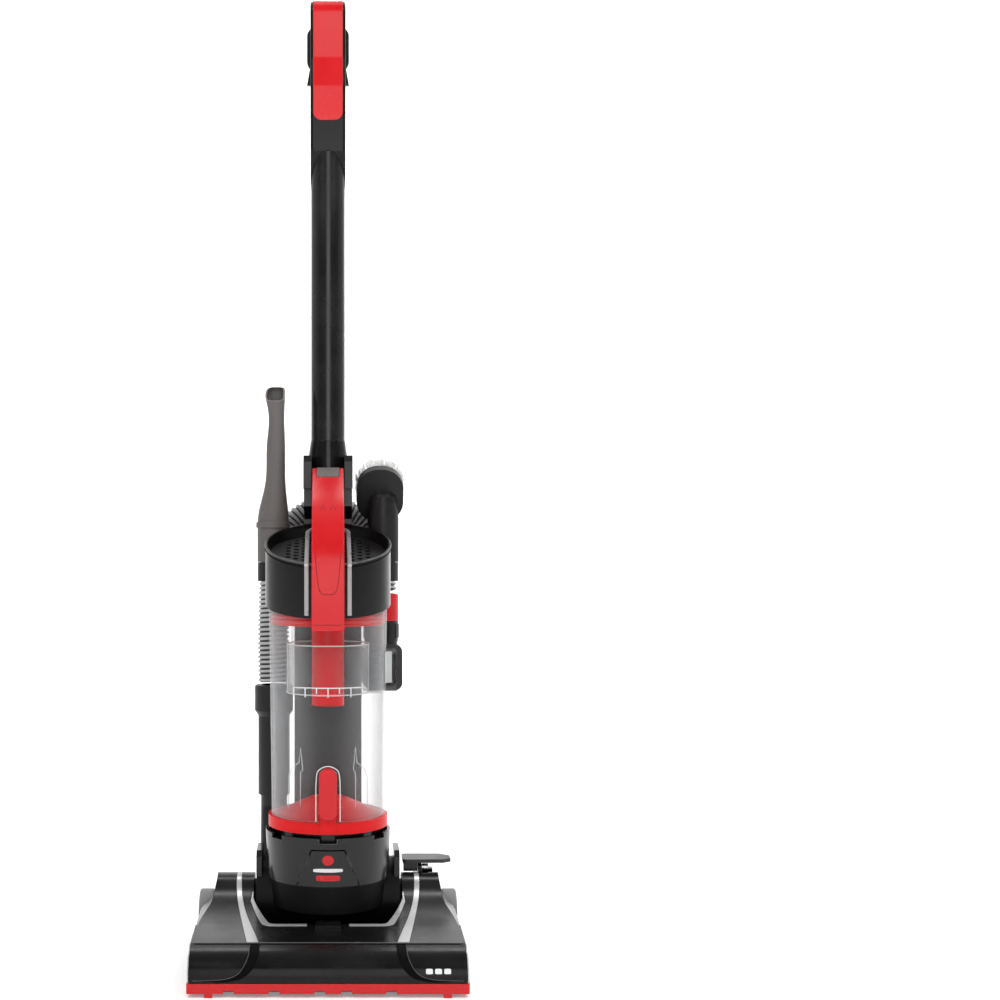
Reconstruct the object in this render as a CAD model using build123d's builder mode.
from build123d import *

# Upright bagless vacuum cleaner, modelled in millimetres.
# +Z is up, the front faces -Y and +X is on the right as seen from the front.
# The origin is on the floor, under the middle of the machine.

import os
from math import asin, cos, degrees, pi, radians, sin, tan

os.makedirs("parts", exist_ok=True)

# ---------------------------------------------------------------- driving sizes
running_gap = 0.05      # radial clearance of a shaft or pin in its bore
wall = 3.0              # moulded wall thickness

# Foot
front_y = -135.0        # front face of the bumper strip
cover_half = 138.0      # half width of the foot cover
cover_low = 14.0        # bottom edge of the foot cover
arm_inner = 81.0        # inner face of the two arms
arm_outer = 123.0       # outer face of the two arms
pivot_y = 55.0          # recline axis, which is also the motor axis
pivot_z = 58.0
boss_r = 24.0
trunnion_r = 17.0
trunnion_bore_r = 14.5
brush_y = -102.0
brush_z = 20.5
bristle_r = 17.5
wheel_y = 88.0
wheel_r = 28.0
wheel_inner = 128.5
wheel_width = 16.0
axle_r = 3.0
belt_x = 99.0           # plane of the drive belt
pedal_pin_y = 62.0
pedal_pin_z = 86.5

# Body
cup_y = 20.0            # vertical axis of the dust cup and the motor housing
barrel_r = 42.0
barrel_half = 78.0
housing_r = 67.5
housing_low = 88.0
housing_rim = 139.0
shaft_r = 4.0
spine_half = 38.0
spine_front = 88.5
spine_back = 118.0
spine_top = 440.0
tube_y = 88.0
tube_r = 19.0
tube_low = 496.0        # bottom end of the tube, inside the neck
neck_top = 545.0
grip_half = 19.6
grip_top = 1062.0
hook_z = 1015.0
hose_x = 62.0
hose_y = 113.0
hose_r = 18.0
wand_top = 285.0
elbow_top = 335.0
cuff_top = 387.0
tool_x = 62.0
tool_y = 81.0
tool_r = 17.5
peg_top = 426.0

# Dust cup
lid_low = 143.0
lid_top = 155.0
lid_r = 64.5
cup_base_r = 61.0
cup_top_r = 64.0
cup_wall_t = 2.5
collar_r = 68.0
collar_bore_r = 64.3
rim_front_z = 426.0
rim_back_z = 470.0
hem_slope = 12.0        # slope of the collar's bottom edge, in degrees
skirt_r = 45.4
screen_r = 17.6
handle_half = 17.0
latch_y = -48.2         # hinge pin of the lid latch
latch_z = 172.0
rocker_y = 116.5        # pins of the rocker switch
rocker_z = 330.0
rocker_tilt = 8.0       # lean of the rocker to either side, in degrees

rim_slope = degrees(asin((rim_back_z - rim_front_z) / (2 * collar_r)))
rim_plane = Plane(
    origin=(0, cup_y, (rim_front_z + rim_back_z) / 2),
    x_dir=(1, 0, 0),
    z_dir=(0, -sin(radians(rim_slope)), cos(radians(rim_slope))),
)
hem_plane = Plane(
    origin=(0, cup_y, 382.5),
    x_dir=(1, 0, 0),
    z_dir=(0, -sin(radians(hem_slope)), cos(radians(hem_slope))),
)

cup_section = Plane(origin=(0, cup_y, 0), x_dir=(1, 0, 0), z_dir=(0, -1, 0))
cup_axis = Axis((0, cup_y, 0), (0, 0, 1))


# ---------------------------------------------------------------- shared forms
def at_cup(height):
    """A level plane centred on the dust cup's axis."""
    return Plane(origin=(0, cup_y, height))


def foot_form(inset):
    """The foot's closed outer form, drawn in on all sides by a wall thickness."""
    with BuildPart() as form:
        with BuildSketch(Plane.YZ):
            with BuildLine():
                nose = Spline(
                    (-134 + inset, 14), (-131.5 + inset, 27), (-121 + 0.7 * inset, 39 - 0.8 * inset),
                    (-106 + 0.3 * inset, 46.5 - inset), tangents=[(0.05, 1), (1, 0.42)],
                )
                deck = Line(nose @ 1, (-45, 50.5 - inset))
                Spline(
                    deck @ 1, (0.2 * inset, 57.5 - inset), (30 + 0.5 * inset, 71 - 0.9 * inset),
                    (pivot_y, pivot_z + boss_r - inset), tangents=[(1, 0.07), (1, 0)],
                )
                crown = CenterArc((pivot_y, pivot_z), boss_r - inset, 90, -60)
                tail = Line(crown @ 1, (100 - inset, 46 - 0.6 * inset))
                Polyline(tail @ 1, (100 - inset, -30), (-134 + inset, -30), nose @ 0)
            make_face()
        extrude(amount=cover_half - inset, both=True)
        # The open recess between the arms.
        with BuildSketch(Plane.XY.offset(-40)) as recess:
            side_x = arm_inner + inset
            Polygon(
                (-61 - 0.6 * inset, -47 - inset), (61 + 0.6 * inset, -47 - inset), (side_x, 15),
                (side_x, 130), (-side_x, 130), (-side_x, 15), align=None,
            )
            fillet(recess.vertices().group_by(Axis.Y)[0], 8 + inset)
            fillet(recess.vertices().sort_by(Axis.Y)[-4:-2], 20)
        extrude(amount=160, mode=Mode.SUBTRACT)
        # The shoulders slope down to the sides, and the wheels stand in cut-outs.
        for side in (-1, 1):
            shoulder = side * (arm_outer - 1 - inset)
            far = side * (cover_half + 20)
            with BuildSketch(Plane.XZ.offset(-120)) as slope:
                Polygon(
                    (shoulder, 79 - inset), (side * (125.5 - inset), 60 - inset),
                    (side * (cover_half + 2 - inset), 46 - inset), (far, 46 - inset), (far, 120),
                    (shoulder, 120), align=None,
                )
                fillet(slope.vertices().filter_by(lambda corner: abs(corner.Y - 60 + inset) < 1), 10)
            extrude(amount=170, mode=Mode.SUBTRACT)
            arch = side * (arm_outer - inset)
            with BuildSketch(Plane.XY.offset(-40)):
                Polygon(
                    (arch, 130), (arch, 56 - inset), (side * (cover_half - inset), 44 - inset),
                    (far, 44 - inset), (far, 130), align=None,
                )
            extrude(amount=160, mode=Mode.SUBTRACT)
        split(bisect_by=Plane.XY.offset(cover_low), keep=Keep.TOP)
    return form.part


def stripe_plan(side):
    """The silver stripe on one side of the foot cover, seen from above."""
    with BuildSketch(Plane.XY.offset(40)) as plan:
        with BuildLine():
            outer = Spline(
                (side * 99.2, 62), (side * 99, 22), (side * 94.6, -8), (side * 88, -56), (side * 81.5, -104),
            )
            inner = Spline(
                (side * 94.2, 62), (side * 93.4, 22), (side * 88.4, -8), (side * 79, -56), (side * 70, -104),
            )
            Line(outer @ 0, inner @ 0)
            Line(outer @ 1, inner @ 1)
        make_face()
    return plan.sketch


def slanted_disc(radius, below_top, below_bottom):
    """A disc that fills the collar's bore between two planes below its rim."""
    with BuildPart() as disc:
        with BuildSketch(at_cup(300)):
            Circle(radius)
        extrude(amount=250)
        split(bisect_by=rim_plane.offset(-below_top), keep=Keep.BOTTOM)
        split(bisect_by=rim_plane.offset(-below_bottom), keep=Keep.TOP)
    return disc.part


# ================================================================ foot
outer_form = foot_form(0)
inner_form = foot_form(wall)
raised_form = outer_form.moved(Location((0, 0, 0.5)))

# Silver stripes that run down the cover from the arms to the crease.
with BuildPart() as cover_stripes:
    for side in (-1, 1):
        extrude(stripe_plan(side), amount=60)
    add(raised_form, mode=Mode.INTERSECT)
    add(outer_form.moved(Location((0, 0, -1))), mode=Mode.SUBTRACT)
cover_stripes.part.label = "cover_stripes"
export_step(cover_stripes.part, "parts/cover_stripes.step")

# Silver trim round the recess, open at the front where the centre block stands.
with BuildPart() as recess_trim:
    with BuildSketch(Plane.XY.offset(40)) as trim_plan:
        Polygon((-67.5, -53), (67.5, -53), (83.4, 10), (82, 24), (-82, 24), (-83.4, 10), align=None)
        fillet(trim_plan.vertices().group_by(Axis.Y)[0], 11)
        with Locations((0, -48)):
            Rectangle(44, 20, mode=Mode.SUBTRACT)
    extrude(amount=60)
    add(raised_form, mode=Mode.INTERSECT)
    add(outer_form.moved(Location((0, 0, -1))), mode=Mode.SUBTRACT)
recess_trim.part.label = "recess_trim"
export_step(recess_trim.part, "parts/recess_trim.step")

# Foot cover: the glossy upper shell with its two arms.
with BuildPart() as foot_cover:
    add(outer_form)
    add(inner_form, mode=Mode.SUBTRACT)
    # Raised block in the middle of the recess's front edge.
    with BuildSketch(Plane.XZ.offset(47)):
        with Locations((0, 48)):
            RectangleRounded(27, 12, 2)
    extrude(amount=22)
    add(inner_form, mode=Mode.SUBTRACT)
    add(cover_stripes.part, mode=Mode.SUBTRACT)
    add(recess_trim.part, mode=Mode.SUBTRACT)
    # Clearance holes for the wheel pins and the trunnions.
    with BuildSketch(Plane.YZ.offset(-arm_outer - 1)):
        with Locations((wheel_y, wheel_r)):
            Circle(axle_r + 0.3)
    extrude(amount=2 * arm_outer + 2, mode=Mode.SUBTRACT)
    with BuildSketch(Plane.YZ.offset(-arm_inner - 4)):
        with Locations((pivot_y, pivot_z)):
            Circle(trunnion_r + 0.8)
    extrude(amount=2 * arm_inner + 8, mode=Mode.SUBTRACT)
    # Lugs for the pedal's hinge pin, and the post that stops the pedal.
    with BuildSketch(Plane.YZ.offset(100)):
        with Locations((pedal_pin_y, pedal_pin_z)):
            Circle(4.5)
        with Locations((pedal_pin_y, pedal_pin_z - 4)):
            Rectangle(9, 8)
    extrude(amount=4)
    with Locations((110.5, pedal_pin_y + 12, 76)):
        Box(13, 10, 15)
    with BuildSketch(Plane.YZ.offset(80)):
        with Locations((pedal_pin_y, pedal_pin_z)):
            Circle(2.03)
    extrude(amount=40, mode=Mode.SUBTRACT)
foot_cover.part.label = "foot_cover"
export_step(foot_cover.part, "parts/foot_cover.step")

# Foot base: floor tray, brush tunnel, bearing plates and wheel bosses.
with BuildPart() as foot_base:
    with BuildSketch(Plane.XY.offset(6)):
        with Locations((0, -42.5)):
            Rectangle(2 * (cover_half - wall) - 0.6, 171)
        with Locations((0, 70)):
            Rectangle(2 * (arm_outer - wall) - 0.6, 54)
    extrude(amount=4)
    with BuildSketch(Plane.YZ.offset(-122)):
        with Locations((brush_y, brush_z)):
            Circle(bristle_r + 2.5)
        with Locations((brush_y, 13)):
            Rectangle(40, 14)
    extrude(amount=244)
    with BuildSketch(Plane.YZ.offset(-119.5)):
        with Locations((brush_y, brush_z)):
            Circle(bristle_r + 1)
        with Locations((brush_y, 10)):
            Rectangle(37, 21)
    extrude(amount=239, mode=Mode.SUBTRACT)
    with Locations((0, brush_y, 3)):
        Box(300, 60, 6, mode=Mode.SUBTRACT)
    for side in (-1, 1):
        # Bearing plate for the trunnion.
        with BuildSketch(Plane.YZ.offset(side * 87.4)):
            with Locations((pivot_y, pivot_z)):
                Circle(boss_r - wall - 0.5)
            with Locations((pivot_y, (pivot_z + 6) / 2)):
                Rectangle(34, pivot_z - 6)
        extrude(amount=3, both=True)
        # Boss that holds the wheel pin.
        with Locations((side * 113.5, wheel_y, 22)):
            Box(12, 15, 26)
    # Belt slot through the brush tunnel, and the bores.
    with BuildSketch(Plane.YZ.offset(-130)):
        with Locations((brush_y, brush_z)):
            Circle(shaft_r + 0.5)
    extrude(amount=260, mode=Mode.SUBTRACT)
    with Locations((belt_x, brush_y + 15, brush_z)):
        Box(10, 20, 34, mode=Mode.SUBTRACT)
    with BuildSketch(Plane.YZ.offset(-95)):
        with Locations((pivot_y, pivot_z)):
            Circle(trunnion_r + running_gap)
    extrude(amount=190, mode=Mode.SUBTRACT)
    with BuildSketch(Plane.YZ.offset(-125)):
        with Locations((wheel_y, wheel_r)):
            Circle(axle_r + 0.03)
    extrude(amount=250, mode=Mode.SUBTRACT)
    # Mouth of the air duct in the left side of the tunnel's back wall.
    with Locations((-105, brush_y + 18, 22)):
        Box(22, 20, 18, mode=Mode.SUBTRACT)
foot_base.part.label = "foot_base"
export_step(foot_base.part, "parts/foot_base.step")

# Red bumper strip round the front, with notches and two skids under it.
with BuildPart() as bumper_strip:
    with BuildSketch(Plane.XY.offset(4)) as strip_plan:
        with Locations((0, front_y + 24)):
            Rectangle(2 * cover_half + 4, 48)
        fillet(strip_plan.vertices().group_by(Axis.Y)[0], 3)
        with Locations((0, front_y + 29)):
            Rectangle(2 * cover_half - 5, 48.2, mode=Mode.SUBTRACT)
    extrude(amount=9.8)
    with BuildSketch(Plane.XY.offset(4)):
        for notch_x in (-98, -53, -8, 18.5, 62.5):
            with Locations((notch_x, front_y + 2)):
                Rectangle(10.5, 12)
    extrude(amount=3, mode=Mode.SUBTRACT)
    for side in (-1, 1):
        with Locations((side * 118, front_y + 2.4, 3)):
            Box(8, 4.4, 6)
bumper_strip.part.label = "bumper_strip"
export_step(bumper_strip.part, "parts/bumper_strip.step")

# Thin silver trims along the cover's side edges.
with BuildPart() as side_trims:
    for side in (-1, 1):
        with BuildSketch(Plane.YZ.offset(side * (cover_half + 0.6))):
            with BuildLine():
                lower = Spline((-133, 15), (-130.5, 26), (-120, 36.5), (-106, 42.5))
                Line(lower @ 1, (40, 43))
                Line((40, 43), (40, 46))
                Line((40, 46), (-105, 45.3))
                Spline((-105, 45.3), (-121, 38.5), (-131.8, 27), (-133.8, 15))
                Line((-133.8, 15), (-133, 15))
            make_face()
        extrude(amount=0.59, both=True)
side_trims.part.label = "side_trims"
export_step(side_trims.part, "parts/side_trims.step")

# Sole plate round the brush opening.
with BuildPart() as sole_plate:
    with BuildSketch(Plane.XY.offset(4)):
        with Locations((0, -96)):
            Rectangle(2 * cover_half - 8, 62)
        with Locations((0, brush_y)):
            Rectangle(237, 36, mode=Mode.SUBTRACT)
    extrude(amount=1.9)
sole_plate.part.label = "sole_plate"
export_step(sole_plate.part, "parts/sole_plate.step")

# Screws that hold the base to the cover, seen from below.
with BuildPart() as foot_screws:
    for screw_x, screw_y in ((-60, -20), (60, -20), (-60, 60), (60, 60)):
        with BuildSketch(Plane((screw_x, screw_y, 4.6))):
            Circle(3.6)
            Rectangle(5, 0.9, mode=Mode.SUBTRACT)
        extrude(amount=1.4)
foot_screws.part.label = "foot_screws"
export_step(foot_screws.part, "parts/foot_screws.step")

# End caps that carry the brush roll's bearings.
with BuildPart() as brush_end_caps:
    for side in (-1, 1):
        with BuildSketch(Plane.YZ.offset(side * 125.2)):
            with Locations((brush_y, brush_z)):
                Circle(14)
                Circle(shaft_r + running_gap, mode=Mode.SUBTRACT)
            with Locations((brush_y, 5.05)):
                Rectangle(30, 10, mode=Mode.SUBTRACT)
        extrude(amount=3, both=True)
brush_end_caps.part.label = "brush_end_caps"
export_step(brush_end_caps.part, "parts/brush_end_caps.step")

# Air duct from the brush tunnel to the left trunnion.
with BuildPart() as foot_duct:
    for inset, mode in ((0, Mode.ADD), (1.5, Mode.SUBTRACT)):
        with BuildSketch(Plane.YZ.offset(-118 + inset)):
            with Locations((-22.5, 23)):
                Rectangle(117 + 6 * inset, 25 - 2 * inset)
            with Locations((pivot_y, pivot_z)):
                Circle(20 - inset)
            with Locations((pivot_y - 8, (pivot_z + 10.6) / 2)):
                Rectangle(24 - 2 * inset, pivot_z - 10.6 - 2 * inset)
        extrude(amount=27 - 2 * inset, mode=mode)
    with BuildSketch(Plane.YZ.offset(-95)):
        with Locations((pivot_y, pivot_z)):
            Circle(trunnion_bore_r)
    extrude(amount=10, mode=Mode.SUBTRACT)
foot_duct.part.label = "foot_duct"
export_step(foot_duct.part, "parts/foot_duct.step")

# Steel pins for the two wheels.
with BuildPart() as wheel_axles:
    for side in (-1, 1):
        with BuildSketch(Plane.YZ.offset(side * 108)):
            with Locations((wheel_y, wheel_r)):
                Circle(axle_r)
        extrude(amount=side * 38)
wheel_axles.part.label = "wheel_axles"
export_step(wheel_axles.part, "parts/wheel_axles.step")

# Flat drive belt from the motor pulley to the brush roll.
pulley_r = 5.5
groove_r = 9.0
belt_gap = 0.4
with BuildPart() as drive_belt:
    with BuildSketch(Plane.YZ.offset(belt_x)):
        for growth, mode in ((1.6, Mode.ADD), (0, Mode.SUBTRACT)):
            with BuildSketch(mode=Mode.PRIVATE) as loop:
                with Locations((pivot_y, pivot_z)):
                    Circle(pulley_r + belt_gap + growth)
                with Locations((brush_y, brush_z)):
                    Circle(groove_r + belt_gap + growth)
                make_hull()
            add(loop.sketch, mode=mode)
    extrude(amount=3.5, both=True)
drive_belt.part.label = "drive_belt"
export_step(drive_belt.part, "parts/drive_belt.step")

# Hinge pin and return spring of the pedal.
with BuildPart() as pedal_pin:
    with BuildSketch(Plane.YZ.offset(84)):
        with Locations((pedal_pin_y, pedal_pin_z)):
            Circle(2)
    extrude(amount=20)
pedal_pin.part.label = "pedal_pin"
export_step(pedal_pin.part, "parts/pedal_pin.step")

with BuildPart() as pedal_spring:
    with BuildSketch(Plane.YZ.offset(104.4)):
        with Locations((pedal_pin_y, pedal_pin_z)):
            Circle(4)
            Circle(2.3, mode=Mode.SUBTRACT)
    extrude(amount=7)
pedal_spring.part.label = "pedal_spring"
export_step(pedal_spring.part, "parts/pedal_spring.step")

# Recline pedal: tread plate with a stem that the pin goes through.
with BuildPart() as pedal:
    with BuildSketch(Plane.XY.offset(92)) as tread_plan:
        Polygon((83, 56), (128, 57), (137, 64), (137, 80), (126, 90), (83, 90), align=None)
        fillet(tread_plan.vertices(), 4)
    extrude(amount=4)
    with BuildSketch(Plane.YZ.offset(84)):
        with Locations((pedal_pin_y, pedal_pin_z)):
            Circle(4.5)
        with Locations((pedal_pin_y, pedal_pin_z + 3)):
            Rectangle(9, 6)
    extrude(amount=15.6)
    with BuildSketch(Plane.YZ.offset(80)):
        with Locations((pedal_pin_y, pedal_pin_z)):
            Circle(2 + running_gap)
    extrude(amount=30, mode=Mode.SUBTRACT)
    with Locations((102, pedal_pin_y, pedal_pin_z)):
        Box(4.8, 10, 12, mode=Mode.SUBTRACT)
    fillet(pedal.edges().filter_by(Axis.Y).group_by(Axis.Z)[-1], 1)
pedal.part.label = "pedal"
export_step(pedal.part, "parts/pedal.step")

# ================================================================ wheels
for side, wheel_name in ((-1, "left_wheel"), (1, "right_wheel")):
    with BuildPart() as wheel:
        with BuildSketch(Plane.YZ.offset(side * wheel_inner)):
            with Locations((wheel_y, wheel_r)):
                Circle(wheel_r - 5)
                Circle(axle_r + running_gap, mode=Mode.SUBTRACT)
        extrude(amount=side * wheel_width)
        with BuildSketch(Plane.YZ.offset(side * (wheel_inner + wheel_width))):
            with Locations((wheel_y, wheel_r)):
                Circle(wheel_r - 8)
                Circle(8, mode=Mode.SUBTRACT)
        extrude(amount=-side * 4, mode=Mode.SUBTRACT)
    wheel.part.label = wheel_name
    export_step(wheel.part, f"parts/{wheel_name}.step")

    with BuildPart() as tyre:
        with BuildSketch(Plane.YZ.offset(side * wheel_inner)):
            with Locations((wheel_y, wheel_r)):
                Circle(wheel_r)
                Circle(wheel_r - 4.98, mode=Mode.SUBTRACT)
        extrude(amount=side * wheel_width)
        fillet(tyre.edges().filter_by(GeomType.CIRCLE).sort_by(SortBy.RADIUS)[-2:], 2)
    tyre.part.label = f"{wheel_name}_tyre"
    export_step(tyre.part, f"parts/{wheel_name}_tyre.step")

# ================================================================ brush roll
core_r = 11.5
with BuildPart() as brush_roll:
    with BuildSketch(Plane.YZ.offset(-118)):
        with Locations((brush_y, brush_z)):
            Circle(core_r)
    extrude(amount=236)
    with BuildSketch(Plane.YZ.offset(-127)):
        with Locations((brush_y, brush_z)):
            Circle(shaft_r)
    extrude(amount=254)
    with BuildSketch(Plane.YZ.offset(belt_x)):
        with Locations((brush_y, brush_z)):
            Circle(core_r + 1)
            Circle(groove_r, mode=Mode.SUBTRACT)
    extrude(amount=4.2, both=True, mode=Mode.SUBTRACT)
brush_roll.part.label = "brush_roll"
export_step(brush_roll.part, "parts/brush_roll.step")

# Two rows of bristles, in a shallow helix round the core.
with BuildPart() as brush_bristles:
    for half_turn in (0, 180):
        for step in range(13):
            tuft_x = -108 + 15 * step
            twist = half_turn + 12 * step
            tuft_plane = Plane(
                origin=(tuft_x, brush_y, brush_z),
                x_dir=(1, 0, 0),
                z_dir=(0, cos(radians(twist)), sin(radians(twist))),
            )
            with BuildSketch(tuft_plane.offset(core_r - 0.6)):
                RectangleRounded(9, 4, 1.5)
            extrude(amount=bristle_r - core_r + 0.6)
    with BuildSketch(Plane.YZ.offset(-120)):
        with Locations((brush_y, brush_z)):
            Circle(core_r)
    extrude(amount=240, mode=Mode.SUBTRACT)
brush_bristles.part.label = "brush_bristles"
export_step(brush_bristles.part, "parts/brush_bristles.step")

# ================================================================ body
# Motor casing: the barrel on the pivot axis, its trunnions and the pedestal.
with BuildPart() as motor_casing:
    with BuildSketch(Plane.YZ.offset(-barrel_half)):
        with Locations((pivot_y, pivot_z)):
            Circle(barrel_r)
    extrude(amount=2 * barrel_half)
    with BuildSketch(Plane.YZ.offset(-90)):
        with Locations((pivot_y, pivot_z)):
            Circle(trunnion_r)
    extrude(amount=180)
    with BuildSketch(at_cup(58)):
        Circle(59)
    extrude(amount=housing_low - 58, taper=-6)
    with Locations((0, 74, 88)):
        Box(72, 36, 16)
    with BuildSketch(at_cup(housing_low)):
        Circle(housing_r + running_gap)
    extrude(amount=10, mode=Mode.SUBTRACT)
    with BuildSketch(Plane.YZ.offset(-barrel_half)):
        with Locations((pivot_y, pivot_z)):
            Circle(barrel_r)
    extrude(amount=2 * barrel_half)
    # Motor chamber on the right and the air chamber on the left.
    with BuildSketch(Plane.YZ.offset(-46)):
        with Locations((pivot_y, pivot_z)):
            Circle(barrel_r - wall)
    extrude(amount=46 + barrel_half - wall, mode=Mode.SUBTRACT)
    with BuildSketch(Plane.YZ.offset(-barrel_half + wall)):
        with Locations((pivot_y, pivot_z)):
            Circle(barrel_r - wall)
    extrude(amount=26, mode=Mode.SUBTRACT)
    with BuildSketch(Plane.YZ.offset(-91)):
        with Locations((pivot_y, pivot_z)):
            Circle(trunnion_bore_r)
    extrude(amount=20, mode=Mode.SUBTRACT)
    with BuildSketch(Plane.YZ.offset(70)):
        with Locations((pivot_y, pivot_z)):
            Circle(trunnion_bore_r)
    extrude(amount=21, mode=Mode.SUBTRACT)
    with BuildSketch(at_cup(70)):
        Circle(20)
    extrude(amount=30, mode=Mode.SUBTRACT)
    with BuildSketch(Plane.XY.offset(75)):
        with Locations((-61, 88)):
            Circle(15.03)
    extrude(amount=60, mode=Mode.SUBTRACT)
motor_casing.part.label = "motor_casing"
export_step(motor_casing.part, "parts/motor_casing.step")

# Side ears over the ends of the barrel.
with BuildPart() as side_ears:
    for side in (-1, 1):
        with BuildSketch(Plane.YZ.offset(side * 75.1)):
            Polygon((22, 66), (22, 106), (29, 112), (70, 112), (77, 104), (77, 66), align=None)
            with Locations((pivot_y, pivot_z)):
                Circle(barrel_r + 0.05, mode=Mode.SUBTRACT)
        extrude(amount=3, both=True)
side_ears.part.label = "side_ears"
export_step(side_ears.part, "parts/side_ears.step")

# Motor housing: the glossy ring that carries the dust cup.
with BuildPart() as motor_housing:
    with BuildSketch(Plane(origin=(0, cup_y, 0), x_dir=(1, 0, 0), z_dir=(0, -1, 0))):
        Polygon(
            (housing_r - 2, housing_low), (housing_r, housing_rim), (housing_r - 3, housing_rim),
            (housing_r - 3.4, 124), (58, 124), (58, lid_low - 0.3), (50, lid_low - 0.3),
            (50, 124), (20, 124), (20, 121), (housing_r - 3.8, 121), (housing_r - 5, housing_low),
            align=None,
        )
    revolve(axis=Axis((0, cup_y, 0), (0, 0, 1)))
    # Notches in the rim.
    for turn in (-90, -36, -144, 30, 150):
        with BuildSketch(at_cup(housing_rim - 5).rotated((0, 0, turn))):
            with Locations((housing_r, 0)):
                Rectangle(12, 18)
        extrude(amount=10, mode=Mode.SUBTRACT)
    # Room for the barrel, and the opening for the badge panel.
    with BuildSketch(Plane.YZ.offset(-100)):
        with Locations((pivot_y, pivot_z)):
            Circle(barrel_r + running_gap)
    extrude(amount=200, mode=Mode.SUBTRACT)
    with BuildSketch(Plane.XZ.offset(20)):
        Polygon((-34.2, 86), (34.2, 86), (17.8, 127.5), (-17.8, 127.5), align=None)
    extrude(amount=40, mode=Mode.SUBTRACT)
motor_housing.part.label = "motor_housing"
export_step(motor_housing.part, "parts/motor_housing.step")

# Badge panel: the door of the exhaust filter.
with BuildPart() as badge_panel:
    with BuildSketch(at_cup(housing_low)):
        Circle(housing_r + 1)
        Circle(housing_r - 4, mode=Mode.SUBTRACT)
    extrude(amount=40)
    with BuildSketch(Plane.XZ.offset(20)):
        Polygon((-32.4, 89), (32.4, 89), (17, 126.5), (-17, 126.5), align=None)
    extrude(amount=40, mode=Mode.INTERSECT)
badge_panel.part.label = "badge_panel"
export_step(badge_panel.part, "parts/badge_panel.step")

# Exhaust filter behind the panel.
with BuildPart() as exhaust_filter:
    with BuildSketch(at_cup(92)):
        Circle(housing_r - 5.5)
        Circle(housing_r - 17, mode=Mode.SUBTRACT)
        with Locations((0, 30)):
            Rectangle(160, 130, mode=Mode.SUBTRACT)
    extrude(amount=27)
exhaust_filter.part.label = "exhaust_filter"
export_step(exhaust_filter.part, "parts/exhaust_filter.step")

# Motor: stator with end plates, two ball bearings and the rotor with its fan and pulley.
bearing_r = 11.0
with BuildPart() as motor_stator:
    with BuildSketch(Plane.YZ.offset(-26)):
        with Locations((pivot_y, pivot_z)):
            Circle(34)
    extrude(amount=72)
    with BuildSketch(Plane.YZ.offset(-22)):
        with Locations((pivot_y, pivot_z)):
            Circle(22)
    extrude(amount=64, mode=Mode.SUBTRACT)
    with BuildSketch(Plane.YZ.offset(-30)):
        with Locations((pivot_y, pivot_z)):
            Circle(bearing_r + 0.02)
    extrude(amount=80, mode=Mode.SUBTRACT)
motor_stator.part.label = "motor_stator"
export_step(motor_stator.part, "parts/motor_stator.step")

with BuildPart() as motor_bearings:
    for bearing_x in (-27.5, 40.5):
        with BuildSketch(Plane.YZ.offset(bearing_x)):
            with Locations((pivot_y, pivot_z)):
                Circle(bearing_r)
                Circle(shaft_r + running_gap, mode=Mode.SUBTRACT)
        extrude(amount=7)
motor_bearings.part.label = "motor_bearings"
export_step(motor_bearings.part, "parts/motor_bearings.step")

with BuildPart() as motor_rotor:
    for start_x, length, radius in (
        (-44, 148, shaft_r), (-14, 46, 21), (-40, 7, 30), (belt_x - 5, 10, pulley_r),
        (belt_x - 5.6, 1.2, pulley_r + 2), (belt_x + 4.4, 1.2, pulley_r + 2),
    ):
        with BuildSketch(Plane.YZ.offset(start_x)):
            with Locations((pivot_y, pivot_z)):
                Circle(radius)
        extrude(amount=length)
motor_rotor.part.label = "motor_rotor"
export_step(motor_rotor.part, "parts/motor_rotor.step")

# Spine: the hollow back of the machine, which leads clean air down to the motor.
with BuildPart() as spine:
    with BuildSketch(Plane.YZ):
        Polygon(
            (58, 96.1), (94, 96.1), (spine_back, 146), (spine_back, spine_top),
            (spine_front, spine_top), (spine_front, 137), (58, 137), align=None,
        )
    extrude(amount=spine_half, both=True)
    fillet(spine.edges().filter_by(Axis.Z).group_by(Axis.Y)[-1], 5)
    with BuildSketch(at_cup(90)):
        Circle(housing_r + running_gap)
    extrude(amount=60, mode=Mode.SUBTRACT)
    for side in (-1, 1):
        with BuildSketch(Plane.XZ.offset(-130)):
            Polygon(
                (side * spine_half, spine_top - 16), (side * 27, spine_top),
                (side * 45, spine_top + 1), (side * 45, spine_top - 16), align=None,
            )
        extrude(amount=60, mode=Mode.SUBTRACT)
    with Locations((0, (spine_front + spine_back) / 2, 290)):
        Box(2 * spine_half - 6, spine_back - spine_front - 6, 270, mode=Mode.SUBTRACT)
    # Window and pin holes for the switch, and the bore of the cord gland.
    with Locations((0, spine_back - 1, rocker_z)):
        Box(20.4, 12, 30.4, mode=Mode.SUBTRACT)
    with BuildSketch(Plane.YZ):
        with Locations((rocker_y, rocker_z)):
            Circle(1 + running_gap)
    extrude(amount=11.6, both=True, mode=Mode.SUBTRACT)
    with BuildSketch(Plane.XZ.offset(-spine_back - 5)):
        with Locations((20, 182)):
            Circle(6.03)
    extrude(amount=10, mode=Mode.SUBTRACT)
spine.part.label = "spine"
export_step(spine.part, "parts/spine.step")

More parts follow.
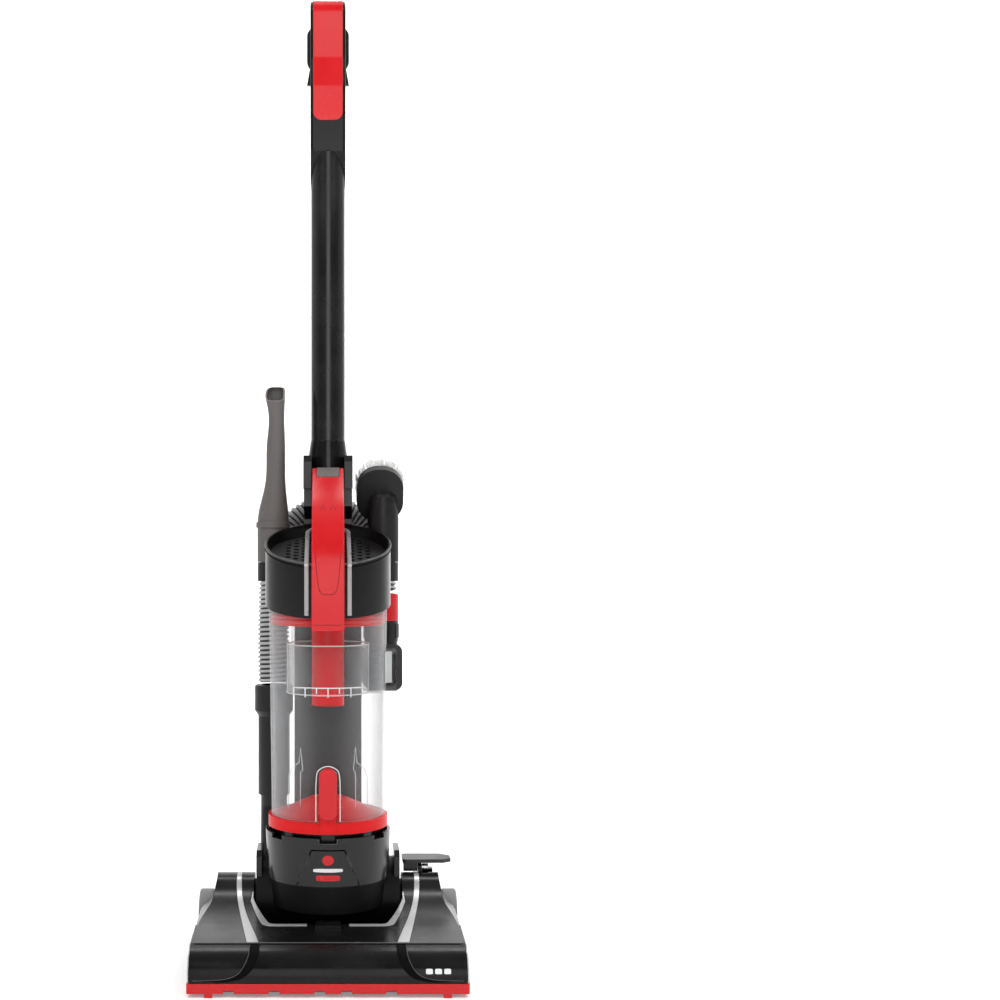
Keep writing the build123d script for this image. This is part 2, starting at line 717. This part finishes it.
# Lower air duct, from the air chamber up to the wand.
with BuildPart() as lower_duct:
    with BuildLine() as duct_route:
        FilletPolyline(
            (-61, 88, 92), (-61.5, 96, 112), (-hose_x, hose_y, 142), (-hose_x, hose_y, 176), radius=30,
        )
    with BuildSketch(Plane(duct_route.line @ 0, z_dir=duct_route.line % 0)):
        Circle(15)
        Circle(12.5, mode=Mode.SUBTRACT)
    sweep()
lower_duct.part.label = "lower_duct"
export_step(lower_duct.part, "parts/lower_duct.step")

# Hose wand: a tube with a thicker cuff, which slides onto the duct.
with BuildPart() as hose_wand:
    with BuildSketch(Plane(origin=(-hose_x, hose_y, 0), x_dir=(1, 0, 0), z_dir=(0, -1, 0))):
        Polygon(
            (15.05, 160), (18, 160), (18, 250), (22, 256), (22, wand_top - 1.5), (20.5, wand_top),
            (14, wand_top), (14, 177), (15.05, 177), align=None,
        )
    revolve(axis=Axis((-hose_x, hose_y, 0), (0, 0, 1)))
hose_wand.part.label = "hose_wand"
export_step(hose_wand.part, "parts/hose_wand.step")

# Hose: from the top of the wand, over the clip behind the neck, down to the cuff.
hose_points = [
    (-62, 113, wand_top + 0.6), (-63, 113, 332), (-62, 116, 378), (-60.5, 121, 420), (-48, 127, 460),
    (-19, 131, 484), (20, 131, 484), (48, 127, 461), (60, 121, 425), (61, 113, cuff_top),
]


def corner_radii(points):
    """For each corner, 0.45 of its shorter run over the tangent of half its turn."""
    radii = []
    for before, corner, after in zip(points, points[1:], points[2:]):
        arriving = Vector(*corner) - Vector(*before)
        leaving = Vector(*after) - Vector(*corner)
        half_turn = radians(arriving.get_angle(leaving)) / 2
        radii.append(0.45 * min(arriving.length, leaving.length) / tan(half_turn))
    return radii


hose_radii = corner_radii(hose_points)
print("hose radii", [round(radius, 1) for radius in hose_radii])
with BuildPart() as hose:
    with BuildLine() as hose_route:
        FilletPolyline(*hose_points, radius=hose_radii)
    with BuildSketch(Plane(hose_route.line @ 0, z_dir=hose_route.line % 0)):
        Circle(hose_r)
        Circle(hose_r - 2, mode=Mode.SUBTRACT)
    sweep()
hose_length = sum(edge.length for edge in hose_route.line.edges())
hose_section = pi * (hose_r ** 2 - (hose_r - 2) ** 2)
print("hose length", round(hose_length, 1))
print("hose volume over section times length", round(hose.part.volume / (hose_section * hose_length), 4))
hose.part.label = "hose"
export_step(hose.part, "parts/hose.step")

# Red cuff at the hose's upper end, and the twist lock that holds it.
with BuildPart() as hose_cuff:
    with BuildSketch(Plane((61, hose_y, 359))):
        Circle(20)
        Circle(15, mode=Mode.SUBTRACT)
    extrude(amount=cuff_top - 353)
    with BuildSketch(Plane(hose_route.line @ 1, z_dir=hose_route.line % 1)):
        Circle(40)
    extrude(amount=-20, mode=Mode.SUBTRACT)
hose_cuff.part.label = "hose_cuff"
export_step(hose_cuff.part, "parts/hose_cuff.step")

with BuildPart() as twist_lock:
    with BuildSketch(Plane((61, hose_y, elbow_top))):
        Circle(19.5)
        Circle(15, mode=Mode.SUBTRACT)
    extrude(amount=359 - elbow_top)
    with BuildSketch(Plane((61, hose_y, elbow_top + 4))):
        with PolarLocations(19.5, 12):
            Rectangle(1.6, 4)
    extrude(amount=16)
twist_lock.part.label = "twist_lock"
export_step(twist_lock.part, "parts/twist_lock.step")

# Inlet elbow: takes air from the hose to the cup, with a framed mouth at the front.
mouth_y = 62.5
with BuildPart() as inlet_elbow:
    with BuildSketch(Plane.XZ.offset(-mouth_y)):
        with Locations((61.5, 309)):
            RectangleRounded(43, 52, 9)
    extrude(amount=-8)
    with BuildSketch(Plane.XZ.offset(-mouth_y - 8)):
        with Locations((59, 309)):
            RectangleRounded(42, 46, 8)
    extrude(amount=-62)
    with BuildSketch(Plane((61, hose_y, 325))):
        Circle(19)
    extrude(amount=elbow_top - 325)
    with BuildSketch(Plane.XZ.offset(-mouth_y)):
        with Locations((61, 308)):
            RectangleRounded(29, 37, 6)
    extrude(amount=-66, mode=Mode.SUBTRACT)
    with BuildSketch(Plane((61, hose_y, 310))):
        Circle(15)
    extrude(amount=30, mode=Mode.SUBTRACT)
    with BuildSketch(at_cup(270)):
        Circle(cup_top_r + 0.6)
    extrude(amount=80, mode=Mode.SUBTRACT)
inlet_elbow.part.label = "inlet_elbow"
export_step(inlet_elbow.part, "parts/inlet_elbow.step")

# Neck socket: holds the tube, clasps the carry handle and carries the hose clip.
clip_y = 131.0
clip_z = 484.0
with BuildPart() as neck_socket:
    with BuildSketch(Plane.YZ):
        Polygon(
            (spine_front, spine_top), (112, spine_top), (112, neck_top), (94, neck_top),
            (94, 531), (66, 531), (66, 489), (spine_front, 475), align=None,
        )
    extrude(amount=27, both=True)
    fillet(neck_socket.edges().filter_by(Axis.Z).group_by(Axis.Y)[-1], 8)
    for side in (-1, 1):
        with BuildSketch(Plane.YZ.offset(side * 22.75)):
            Polygon((48, 508), (98, 508), (98, neck_top), (54, neck_top), (48, 538), align=None)
        extrude(amount=4.55, both=True)
    with BuildSketch(Plane((0, tube_y, 530))):
        Circle(22)
    extrude(amount=neck_top - 530)
    with BuildSketch(Plane((0, tube_y, neck_top))):
        Circle(22)
    extrude(amount=18, taper=8)
    # Clip round the front of the hose.
    with BuildSketch(Plane.YZ):
        with Locations((clip_y, clip_z)):
            Circle(22)
        with Locations((clip_y + 19, clip_z)):
            Rectangle(30, 60, mode=Mode.SUBTRACT)
    extrude(amount=7, both=True)
    with BuildSketch(Plane.YZ):
        with Locations((clip_y, clip_z)):
            Circle(hose_r + 0.7)
    extrude(amount=12, both=True, mode=Mode.SUBTRACT)
    with BuildSketch(Plane((0, tube_y, tube_low))):
        Circle(tube_r + 0.03)
    extrude(amount=90, mode=Mode.SUBTRACT)
neck_socket.part.label = "neck_socket"
export_step(neck_socket.part, "parts/neck_socket.step")

# Tool pegs on both sides of the spine.
with BuildPart() as tool_pegs:
    for side in (-1, 1):
        with BuildSketch(Plane((side * tool_x, tool_y, 405))):
            Circle(tool_r - 0.3)
        extrude(amount=peg_top - 405)
        with BuildSketch(Plane((side * 49, 92.6, 407))):
            Rectangle(22, 8)
        extrude(amount=17)
        with BuildSketch(Plane((side * tool_x, tool_y, peg_top))):
            Circle(14)
        extrude(amount=26, taper=1)
        with BuildSketch(Plane((side * tool_x, tool_y, 408))):
            Circle(11.5)
        extrude(amount=60, mode=Mode.SUBTRACT)
tool_pegs.part.label = "tool_pegs"
export_step(tool_pegs.part, "parts/tool_pegs.step")

# Steel tube between the neck and the grip.
with BuildPart() as handle_tube:
    with BuildSketch(Plane((0, tube_y, tube_low))):
        Circle(tube_r)
        Circle(tube_r - 1.2, mode=Mode.SUBTRACT)
    extrude(amount=902 - tube_low)
handle_tube.part.label = "handle_tube"
export_step(handle_tube.part, "parts/handle_tube.step")


def grip_side(growth, half_width):
    """Side outline of the grip, grown outwards a little, on the plane of its left face."""
    with BuildSketch(Plane.YZ.offset(-half_width)) as outline:
        Polygon(
            (88, 853), (69 - growth, 887), (63 - growth, 925), (60 - growth, 957), (61.5 - growth, 990),
            (57 - growth, 1018), (52 - growth, 1042), (60 - 0.7 * growth, 1051 + 0.7 * growth),
            (82, 1058.5 + growth), (106, grip_top - 0.8 + growth), (119 + growth, 1050),
            (119 + growth, 950), (108.5, 912), (108.5, 853), align=None,
        )
        fillet(outline.vertices().filter_by(lambda corner: corner.Y > 1049), 8)
        fillet(outline.vertices().filter_by(lambda corner: corner.X < 66 and 950 < corner.Y < 1046), 12)
    return outline.sketch


# Red inlay over the front and top of the grip.
with BuildPart() as grip_inlay:
    extrude(grip_side(0.8, 16.5), amount=33)
    extrude(grip_side(-2, 17), amount=34, mode=Mode.SUBTRACT)
    with BuildSketch(Plane.XZ.offset(-110)):
        with Locations((0, grip_top - 71)):
            RectangleRounded(33, 142, 9)
    extrude(amount=70, mode=Mode.INTERSECT)
grip_inlay.part.label = "grip_inlay"
export_step(grip_inlay.part, "parts/grip_inlay.step")

# Grip: a closed loop over the end of the tube.
with BuildPart() as grip_shell:
    extrude(grip_side(0, grip_half), amount=2 * grip_half)
    sharp_edges = [
        edge
        for face in grip_shell.faces().filter_by(Axis.X)
        for edge in face.outer_wire().edges()
        if edge.center().Z > 890
    ]
    fillet(sharp_edges, 3)
    with BuildSketch(Plane.XZ.offset(-130)):
        with Locations((0, grip_top - 0.8 - 110)):
            RectangleRounded(2 * grip_half, 220, 11)
    extrude(amount=90, mode=Mode.INTERSECT)
    with BuildSketch(Plane.YZ):
        Polygon(
            (82, 950), (81, 1010), (78, 1034), (90, 1044), (103, 1038), (107, 1025), (107, 955),
            (97, 925), (86, 930), align=None,
        )
    extrude(amount=grip_half, both=True, mode=Mode.SUBTRACT)
    add(grip_inlay.part, mode=Mode.SUBTRACT)
    with BuildSketch(Plane((0, tube_y, 850))):
        Circle(tube_r + 0.03)
    extrude(amount=52.5, mode=Mode.SUBTRACT)
    with BuildSketch(Plane.XZ.offset(-110)):
        with Locations((0, hook_z)):
            Circle(4 + running_gap)
    extrude(amount=-12, mode=Mode.SUBTRACT)
grip_shell.part.label = "grip_shell"
export_step(grip_shell.part, "parts/grip_shell.step")

# ---------------------------------------------------------------- small body pieces
with BuildPart() as cord_hook:
    with BuildSketch(Plane.XZ.offset(-135)):
        with Locations((0, hook_z + 6)):
            RectangleRounded(48.6, 52, 12)
        with Locations((0, hook_z - 16)):
            Trapezoid(48.6, 40, 100, rotation=180)
    extrude(amount=6)
    with BuildSketch(Plane.XZ.offset(-129)):
        with Locations((0, hook_z)):
            Circle(7)
    extrude(amount=9.6)
    with BuildSketch(Plane.XZ.offset(-120)):
        with Locations((0, hook_z)):
            Circle(4)
    extrude(amount=9.4)
cord_hook.part.label = "cord_hook"
export_step(cord_hook.part, "parts/cord_hook.step")

with BuildPart() as hook_lower:
    with BuildSketch(Plane.XZ.offset(-135)):
        with Locations((0, 252)):
            RectangleRounded(40, 50, 8)
    extrude(amount=5)
    with BuildSketch(Plane.XZ.offset(-130)):
        with Locations((0, 264)):
            RectangleRounded(24, 16, 4)
    extrude(amount=130 - spine_back)
hook_lower.part.label = "hook_lower"
export_step(hook_lower.part, "parts/hook_lower.step")

with BuildPart() as cord_gland:
    with BuildSketch(Plane.XZ.offset(-130)):
        with Locations((20, 182)):
            Circle(6)
    extrude(amount=18)
    with BuildSketch(Plane.XZ.offset(-spine_back - 3)):
        with Locations((20, 182)):
            Circle(9)
    extrude(amount=3)
    with BuildSketch(Plane.XZ.offset(-131)):
        with Locations((20, 182)):
            Circle(3.6)
    extrude(amount=20, mode=Mode.SUBTRACT)
cord_gland.part.label = "cord_gland"
export_step(cord_gland.part, "parts/cord_gland.step")

with BuildPart() as body_screws:
    for across in (-26, 26):
        for height in (205, 405):
            with BuildSketch(Plane.XZ.offset(-spine_back - 1.6)):
                with Locations((across, height)):
                    Circle(4)
                    RegularPolygon(1.8, 6, mode=Mode.SUBTRACT)
            extrude(amount=1.6)
body_screws.part.label = "body_screws"
export_step(body_screws.part, "parts/body_screws.step")

# Rocker switch, held on two short pins.
with BuildPart() as power_rocker:
    with BuildSketch(Plane.YZ):
        with Locations((rocker_y, rocker_z)):
            Circle(15)
            Polygon(
                (-8, -12), (-8, 12), (4.6, 14.2), (2.5, 0), (4.6, -14.2), rotation=rocker_tilt, align=None,
                mode=Mode.INTERSECT,
            )
    extrude(amount=10, both=True)
    with BuildSketch(Plane.YZ):
        with Locations((rocker_y, rocker_z)):
            Circle(1)
    extrude(amount=11.2, both=True)
power_rocker.part.label = "power_rocker"
export_step(power_rocker.part, "parts/power_rocker.step")

# ---------------------------------------------------------------- stowed tools
def crevice_form(inset):
    """The blade of the crevice tool, which narrows from its pipe, drawn in by an inset."""
    with BuildPart() as form:
        for height, shift, across, deep, corner_r in (
            (470, 0, 35, 34, 16.5), (484, 0.6, 33, 33.5, 15.5), (498, 1.6, 28, 33, 13),
            (512, 2.6, 23.4, 31.5, 10.5), (530, 3.2, 21, 31, 8.5), (564, 3.6, 19.6, 30.5, 7),
            (595, 3.8, 17.7, 30, 6), (626, 4, 15.8, 30, 5),
        ):
            with BuildSketch(Plane((shift - tool_x, tool_y, height))):
                RectangleRounded(across - 2 * inset, deep - 2 * inset, corner_r - inset)
        loft()
    return form.part


with BuildPart() as crevice_tool:
    with BuildSketch(Plane((-tool_x, tool_y, peg_top + 0.5))):
        Circle(tool_r)
    extrude(amount=45)
    with BuildSketch(Plane((-tool_x, tool_y, 465))):
        Circle(19)
    extrude(amount=6)
    add(crevice_form(0))
    add(crevice_form(1.8), mode=Mode.SUBTRACT)
    with BuildSketch(Plane((-tool_x, tool_y, peg_top))):
        Circle(14.2)
    extrude(amount=46, mode=Mode.SUBTRACT)
    with BuildSketch(Plane.YZ.offset(-tool_x)):
        Polygon((60, 604), (97, 625.5), (97, 640), (60, 640), align=None)
    extrude(amount=20, both=True, mode=Mode.SUBTRACT)
crevice_tool.part.label = "crevice_tool"
export_step(crevice_tool.part, "parts/crevice_tool.step")

# Dusting brush: its oval head leans, and its bristles point to the rear.
brush_plane = Plane(origin=(58.5, 80, 503), x_dir=(0, -0.423, 0.906), z_dir=(0, 0.906, 0.423))
with BuildPart() as brush_tool:
    with BuildSketch(Plane((tool_x, tool_y, peg_top + 0.5))):
        Circle(tool_r)
    extrude(amount=50)
    with BuildSketch(Plane((tool_x, tool_y, 476))):
        Circle(tool_r)
    with BuildSketch(Plane((tool_x, tool_y - 2, 500))):
        Circle(15)
    loft()
    with Locations((tool_x, tool_y - 1, 492)):
        Sphere(16.4)
    with BuildSketch(brush_plane.offset(-6)):
        RectangleRounded(64, 52.4, 24)
    extrude(amount=12)
    with BuildSketch(brush_plane.offset(1)):
        RectangleRounded(46, 34.4, 15)
    extrude(amount=30, mode=Mode.SUBTRACT)
    with BuildSketch(Plane((tool_x, tool_y, peg_top))):
        Circle(14.2)
    extrude(amount=42, mode=Mode.SUBTRACT)
    with BuildSketch(Plane((tool_x, tool_y, 460))):
        Circle(11)
    extrude(amount=28, mode=Mode.SUBTRACT)
brush_tool.part.label = "brush_tool"
export_step(brush_tool.part, "parts/brush_tool.step")

# Ring of bristles: a low band, and tufts spaced evenly along its middle line.
with BuildSketch() as tuft_ring:
    RectangleRounded(55, 43.4, 19.5)
tuft_line = tuft_ring.face().outer_wire()
with BuildPart() as brush_tool_bristles:
    with BuildSketch(brush_plane.offset(6.1)):
        RectangleRounded(60, 48.4, 22)
        RectangleRounded(50, 38.4, 17, mode=Mode.SUBTRACT)
    extrude(amount=3)
    with BuildSketch(brush_plane.offset(6.1)):
        with Locations(*[tuft_line @ (step / 24) for step in range(24)]):
            Circle(1.9)
    extrude(amount=17)
    with BuildSketch(Plane((tool_x, tool_y, peg_top))):
        Circle(tool_r + 0.3)
    extrude(amount=80, mode=Mode.SUBTRACT)
brush_tool_bristles.part.label = "brush_tool_bristles"
export_step(brush_tool_bristles.part, "parts/brush_tool_bristles.step")

# ---------------------------------------------------------------- dust cup
with BuildPart() as cup_wall:
    with BuildSketch(cup_section):
        Polygon(
            (0, lid_top + 0.2), (cup_base_r, lid_top + 0.2), (cup_top_r, 372), (cup_top_r, 480), (0, 480),
            align=None,
        )
    revolve(axis=cup_axis)
    # Guards on both sides of the latch, and the air inlet at the rear right.
    for side in (-1, 1):
        with Locations((side * 14.6, -44.5, 185.5)):
            Box(2.4, 13, 57)
    with Locations((57.5, 41, 308)):
        Box(35, 42, 44)
    with BuildSketch(cup_section):
        Polygon(
            (0, lid_top), (cup_base_r - cup_wall_t, lid_top), (cup_top_r - cup_wall_t, 372),
            (cup_top_r - cup_wall_t, 481), (0, 481), align=None,
        )
    revolve(axis=cup_axis, mode=Mode.SUBTRACT)
    with Locations((57.5, 43.5, 308)):
        Box(30, 42, 39, mode=Mode.SUBTRACT)
    with BuildSketch(rim_plane.offset(-39)):
        Circle(120)
    extrude(amount=120, mode=Mode.SUBTRACT)
    with BuildSketch(Plane.YZ):
        with Locations((latch_y, latch_z)):
            Circle(1.45)
    extrude(amount=20, both=True, mode=Mode.SUBTRACT)
cup_wall.part.label = "cup_wall"
export_step(cup_wall.part, "parts/cup_wall.step")

with BuildPart() as cup_lid:
    with BuildSketch(cup_section):
        Polygon(
            (54, lid_low), (lid_r, lid_low), (lid_r, lid_top), (57, lid_top), (20, 172), (0, 172),
            (0, 169.5), (19.5, 169.5), (54, 152.5), align=None,
        )
    revolve(axis=cup_axis)
    with Locations((0, -44.2, 156)):
        Box(16, 2.4, 24)
    with Locations((0, -44.2, 160)):
        Box(10, 6, 5, mode=Mode.SUBTRACT)
cup_lid.part.label = "cup_lid"
export_step(cup_lid.part, "parts/cup_lid.step")

with BuildPart() as lid_latch:
    with BuildSketch(Plane.YZ):
        Polygon(
            (-49, 158), (-46.5, 158), (-45.2, 158.6), (-45.2, 161.4), (-46.5, 162), (-46.5, 212), (-48, 213),
            (-50.5, 209), (-50.5, 163), align=None,
        )
    extrude(amount=4.5, both=True)
    with BuildSketch(Plane.XZ.offset(50.5)):
        with Locations((0, 186)):
            RectangleRounded(18.6, 52, 7)
    extrude(amount=-4)
    with BuildSketch(Plane.YZ):
        with Locations((latch_y, latch_z)):
            Circle(1.4)
    extrude(amount=15.6, both=True)
lid_latch.part.label = "lid_latch"
export_step(lid_latch.part, "parts/lid_latch.step")

with BuildPart() as cup_collar:
    with BuildSketch(at_cup(330)):
        Circle(collar_r)
    extrude(amount=160)
    with BuildSketch(rim_plane):
        Circle(150)
    extrude(amount=150, mode=Mode.SUBTRACT)
    fillet(cup_collar.edges().sort_by(Axis.Z)[-1], 1.2)
    with BuildSketch(hem_plane):
        Circle(150)
    extrude(amount=-150, mode=Mode.SUBTRACT)
    add(slanted_disc(collar_r - 2.5, -30, 33.5), mode=Mode.SUBTRACT)
    add(slanted_disc(collar_bore_r, 36, 140), mode=Mode.SUBTRACT)
    with BuildSketch(at_cup(380)):
        Circle(25)
    extrude(amount=80, mode=Mode.SUBTRACT)
cup_collar.part.label = "cup_collar"
export_step(cup_collar.part, "parts/cup_collar.step")

with BuildPart() as separator:
    with BuildSketch(at_cup(366)):
        Circle(61.2)
    extrude(amount=3.5)
    with BuildSketch(at_cup(360)):
        Circle(61.2)
        Circle(58.5, mode=Mode.SUBTRACT)
    extrude(amount=12)
    with BuildSketch(at_cup(272)):
        Circle(screen_r)
    extrude(amount=98)
    with BuildSketch(at_cup(274)):
        Circle(screen_r - 2)
    extrude(amount=98, mode=Mode.SUBTRACT)
    with Locations(Plane.XY.offset(320)):
        with Locations((0, cup_y)):
            with PolarLocations(screen_r, 7, start_angle=15, angular_range=150):
                Box(8, 2.4, 76, mode=Mode.SUBTRACT)
separator.part.label = "separator"
export_step(separator.part, "parts/separator.step")

# Clear skirt round the screen, with its duct from the air inlet and three ribs to the separator.
with BuildPart() as inner_skirt:
    with BuildSketch(at_cup(286)):
        Circle(skirt_r)
    extrude(amount=53)
    with Locations((51, 20, 306)):
        Box(19, 30, 40)
    with BuildSketch(at_cup(339)):
        with PolarLocations(skirt_r - 1, 3, start_angle=30):
            Rectangle(2, 6)
    extrude(amount=27)
    with BuildSketch(at_cup(280)):
        Circle(skirt_r - 2)
    extrude(amount=60, mode=Mode.SUBTRACT)
    with Locations((50, 20, 306)):
        Box(30, 26, 36, mode=Mode.SUBTRACT)
    with BuildSketch(at_cup(280)):
        Circle(80)
        Circle(60, mode=Mode.SUBTRACT)
    extrude(amount=100, mode=Mode.SUBTRACT)
inner_skirt.part.label = "inner_skirt"
export_step(inner_skirt.part, "parts/inner_skirt.step")

with BuildPart() as filter_grille:
    add(slanted_disc(collar_r - 3, 12, 14.5))
    with BuildSketch(rim_plane):
        with HexLocations(5, 11, 11):
            Circle(3)
        with BuildSketch(mode=Mode.PRIVATE) as field:
            Circle(56)
        add(field.sketch, mode=Mode.INTERSECT)
    extrude(amount=-30, mode=Mode.SUBTRACT)
filter_grille.part.label = "filter_grille"
export_step(filter_grille.part, "parts/filter_grille.step")

with BuildPart() as cup_prefilter:
    add(slanted_disc(collar_r - 4, 14.6, 33.4))
cup_prefilter.part.label = "cup_prefilter"
export_step(cup_prefilter.part, "parts/cup_prefilter.step")

# Carry handle: from the front of the collar, over the rim, to the neck.
with BuildPart() as handle_form:
    with BuildSketch(Plane.YZ):
        with BuildLine():
            back = Spline(
                (-60.5, 357), (-62, 400), (-60, 430), (-46, 462), (-12, 495), (25, 519), (48, 530.5),
                tangents=[(-0.05, 1), (1, 0.35)],
            )
            Polyline(back @ 1, (65.6, 531.5), (65.6, 487), (86, 473), (86, 460), (74, 460), (54, 492))
            belly = Spline(
                (54, 492), (44, 506), (20, 497), (-12, 474), (-37, 447), (-46, 424),
                tangents=[(-0.5, 1), (-0.2, -1)],
            )
            Polyline(belly @ 1, (-46, 357), back @ 0)
        make_face()
    extrude(amount=handle_half, both=True)

button_y = 38.5
with BuildPart() as carry_handle:
    add(handle_form.part)
    with BuildSketch(at_cup(340)):
        Circle(collar_r + 0.02)
    extrude(amount=rim_front_z + 1 - 340, mode=Mode.SUBTRACT)
    with BuildSketch(rim_plane):
        with Locations((0, 30)):
            Rectangle(100, 140)
    extrude(amount=-40, mode=Mode.SUBTRACT)
    # Well for the release button.
    with BuildSketch(Plane((0, button_y, 509))):
        RectangleRounded(25.2, 24, 3)
    extrude(amount=40, mode=Mode.SUBTRACT)
carry_handle.part.label = "carry_handle"
export_step(carry_handle.part, "parts/carry_handle.step")

# Release button: fills the well, and its top follows the handle's back a little above it.
with BuildPart() as release_button:
    with BuildSketch(Plane((0, button_y, 513.2))):
        RectangleRounded(24.6, 23.4, 2.7)
    extrude(amount=30)
    add(handle_form.part.moved(Location((0, 0, 0.8))), mode=Mode.INTERSECT)
release_button.part.label = "release_button"
export_step(release_button.part, "parts/release_button.step")

# Silver rails: up the front of the collar, and back over the rim to an arch.
with BuildPart() as trim_rails:
    with BuildSketch(at_cup(372)):
        Circle(collar_r + 0.8)
        Circle(collar_r + 0.02, mode=Mode.SUBTRACT)
    extrude(amount=100)
    with BuildSketch(Plane.XZ):
        with Locations((-22.55, 420), (22.55, 420)):
            Rectangle(4.3, 110)
    extrude(amount=80, mode=Mode.INTERSECT)
    with BuildSketch(rim_plane):
        Circle(150)
    extrude(amount=150, mode=Mode.SUBTRACT)
    with BuildSketch(rim_plane):
        for half_width, mode in ((24.7, Mode.ADD), (20.4, Mode.SUBTRACT)):
            with Locations((0, -24)):
                Rectangle(2 * half_width, 104, mode=mode)
            with Locations((0, 28)):
                Circle(half_width, mode=mode)
    extrude(amount=2.5)
trim_rails.part.label = "trim_rails"
export_step(trim_rails.part, "parts/trim_rails.step")
